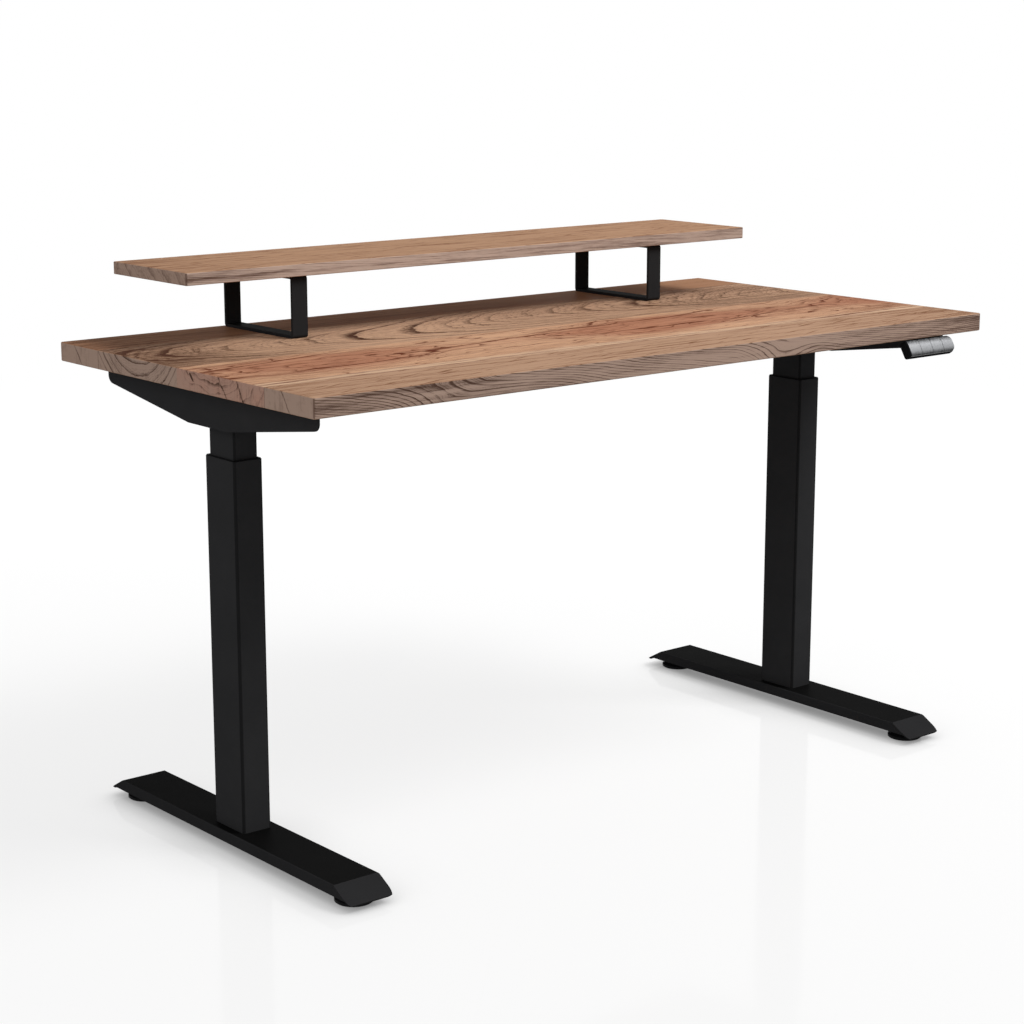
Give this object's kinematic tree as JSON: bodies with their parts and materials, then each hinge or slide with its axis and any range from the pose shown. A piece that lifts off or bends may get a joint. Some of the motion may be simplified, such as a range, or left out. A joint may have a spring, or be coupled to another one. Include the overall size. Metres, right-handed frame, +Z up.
{
  "type": "height-adjustable desk",
  "caption": "Height-adjustable desk: wooden top with a raised monitor shelf on steel loops, telescopic motor-driven columns, folded feet on levelling pads and a key handset at the front edge.",
  "frame": {"origin": "on the floor under the middle of the desktop", "axes": "+X along the desktop to the user's right, +Y to the back, +Z up"},
  "size_m": [1.4, 0.7123, 0.88],
  "materials": {
    "oiled_wood": "oiled edge-glued boards",
    "black_coat": "fine matte powder coat",
    "black_plastic": "moulded, matte",
    "brushed_keys": "brushed along the bar",
    "steel": "zinc-plated or turned",
    "bronze": "turned",
    "cast_alloy": "as cast",
    "circuit_board": "solder resist",
    "pad": "moulded, matte"
  },
  "bodies": {
    "base_left": {"foot_left": "black_coat", "foot_bolts_left": "steel", "outer_column_left": "black_coat", "base_plate_left": "steel", "nut_tube_left": "steel", "drive_nut_left": "bronze", "guide_collar_left": "black_plastic"},
    "top": {"desktop": "oiled_wood", "desktop_screws": "steel", "riser_shelf": "oiled_wood", "riser_screws": "black_coat", "rail_bolts": "steel", "cross_rail_front": "black_coat", "cross_rail_rear": "black_coat", "control_box": "black_plastic", "control_lid": "black_plastic", "control_sockets": "black_plastic", "handset_housing": "black_plastic", "handset_board": "circuit_board", "side_bracket_left": "black_coat", "column_head_left": "black_coat", "inner_column_left": "black_coat", "slide_shoe_left": "black_plastic", "gear_housing_left": "cast_alloy", "gear_cover_left": "cast_alloy", "motor_left": "steel", "bearing_left": "steel", "riser_bracket_left": "black_coat", "handset_cap_left": "black_plastic", "side_bracket_right": "black_coat", "column_head_right": "black_coat", "inner_column_right": "black_coat", "slide_shoe_right": "black_plastic", "gear_housing_right": "cast_alloy", "gear_cover_right": "cast_alloy", "motor_right": "steel", "bearing_right": "steel", "riser_bracket_right": "black_coat", "handset_cap_right": "black_plastic"},
    "base_right": {"foot_right": "black_coat", "foot_bolts_right": "steel", "outer_column_right": "black_coat", "base_plate_right": "steel", "nut_tube_right": "steel", "drive_nut_right": "bronze", "guide_collar_right": "black_plastic"},
    "spindle_left": {"spindle_left": "steel", "worm_wheel_left": "bronze"},
    "worm_left": {"worm_left": "steel"},
    "spindle_right": {"spindle_right": "steel", "worm_wheel_right": "bronze"},
    "worm_right": {"worm_right": "steel"},
    "key_up": {"handset_key_up": "brushed_keys"},
    "key_down": {"handset_key_down": "brushed_keys"},
    "key_memory_a": {"handset_key_memory_a": "brushed_keys"},
    "key_memory_b": {"handset_key_memory_b": "brushed_keys"},
    "leveller_front_left": {"leveller_front_left": "pad"},
    "leveller_back_left": {"leveller_back_left": "pad"},
    "leveller_front_right": {"leveller_front_right": "pad"},
    "leveller_back_right": {"leveller_back_right": "pad"}
  },
  "joints": [
    {"name": "lift", "type": "slide", "parent": "base_left", "child": "top", "axis": [0, 0, 1], "range_m": [-0.036, 0.414]},
    {"name": "lift_right", "type": "slide", "parent": "top", "child": "base_right", "axis": [0, 0, -1], "range_m": [-0.036, 0.414]},
    {"name": "spindle_turn_left", "type": "hinge", "parent": "top", "child": "spindle_left", "pos_m": [-0.606, 0, 0.696], "axis": [0, 0, 1], "range_deg": [-2161, 24841]},
    {"name": "worm_turn_left", "type": "hinge", "parent": "top", "child": "worm_left", "pos_m": [-0.606, -0.025, 0.696], "axis": [-1, 0, 0], "range_deg": [-25921, 298081]},
    {"name": "spindle_turn_right", "type": "hinge", "parent": "top", "child": "spindle_right", "pos_m": [0.606, 0, 0.696], "axis": [0, 0, 1], "range_deg": [-2161, 24841]},
    {"name": "worm_turn_right", "type": "hinge", "parent": "top", "child": "worm_right", "pos_m": [0.606, 0.025, 0.696], "axis": [1, 0, 0], "range_deg": [-25921, 298081]},
    {"name": "press_up", "type": "slide", "parent": "top", "child": "key_up", "axis": [0, 0.859, -0.512], "range_m": [0, 0.001], "stiffness_N_per_m": 1500},
    {"name": "press_down", "type": "slide", "parent": "top", "child": "key_down", "axis": [0, 0.859, -0.512], "range_m": [0, 0.001], "stiffness_N_per_m": 1500},
    {"name": "press_memory_a", "type": "slide", "parent": "top", "child": "key_memory_a", "axis": [0, 0.859, -0.512], "range_m": [0, 0.001], "stiffness_N_per_m": 1500},
    {"name": "press_memory_b", "type": "slide", "parent": "top", "child": "key_memory_b", "axis": [0, 0.859, -0.512], "range_m": [0, 0.001], "stiffness_N_per_m": 1500},
    {"name": "level_front_left", "type": "slide", "parent": "base_left", "child": "leveller_front_left", "axis": [0, 0, -1], "range_m": [0, 0.008]},
    {"name": "level_back_left", "type": "slide", "parent": "base_left", "child": "leveller_back_left", "axis": [0, 0, -1], "range_m": [0, 0.008]},
    {"name": "level_front_right", "type": "slide", "parent": "base_right", "child": "leveller_front_right", "axis": [0, 0, -1], "range_m": [0, 0.008]},
    {"name": "level_back_right", "type": "slide", "parent": "base_right", "child": "leveller_back_right", "axis": [0, 0, -1], "range_m": [0, 0.008]}
  ],
  "couplings": [
    {"joint": "lift_right", "follows": "lift", "ratio": 1},
    {"joint": "spindle_turn_left", "follows": "lift", "rad_per_m": 1047.2},
    {"joint": "worm_turn_left", "follows": "lift", "rad_per_m": 12566},
    {"joint": "spindle_turn_right", "follows": "lift", "rad_per_m": 1047.2},
    {"joint": "worm_turn_right", "follows": "lift", "rad_per_m": 12566}
  ]
}
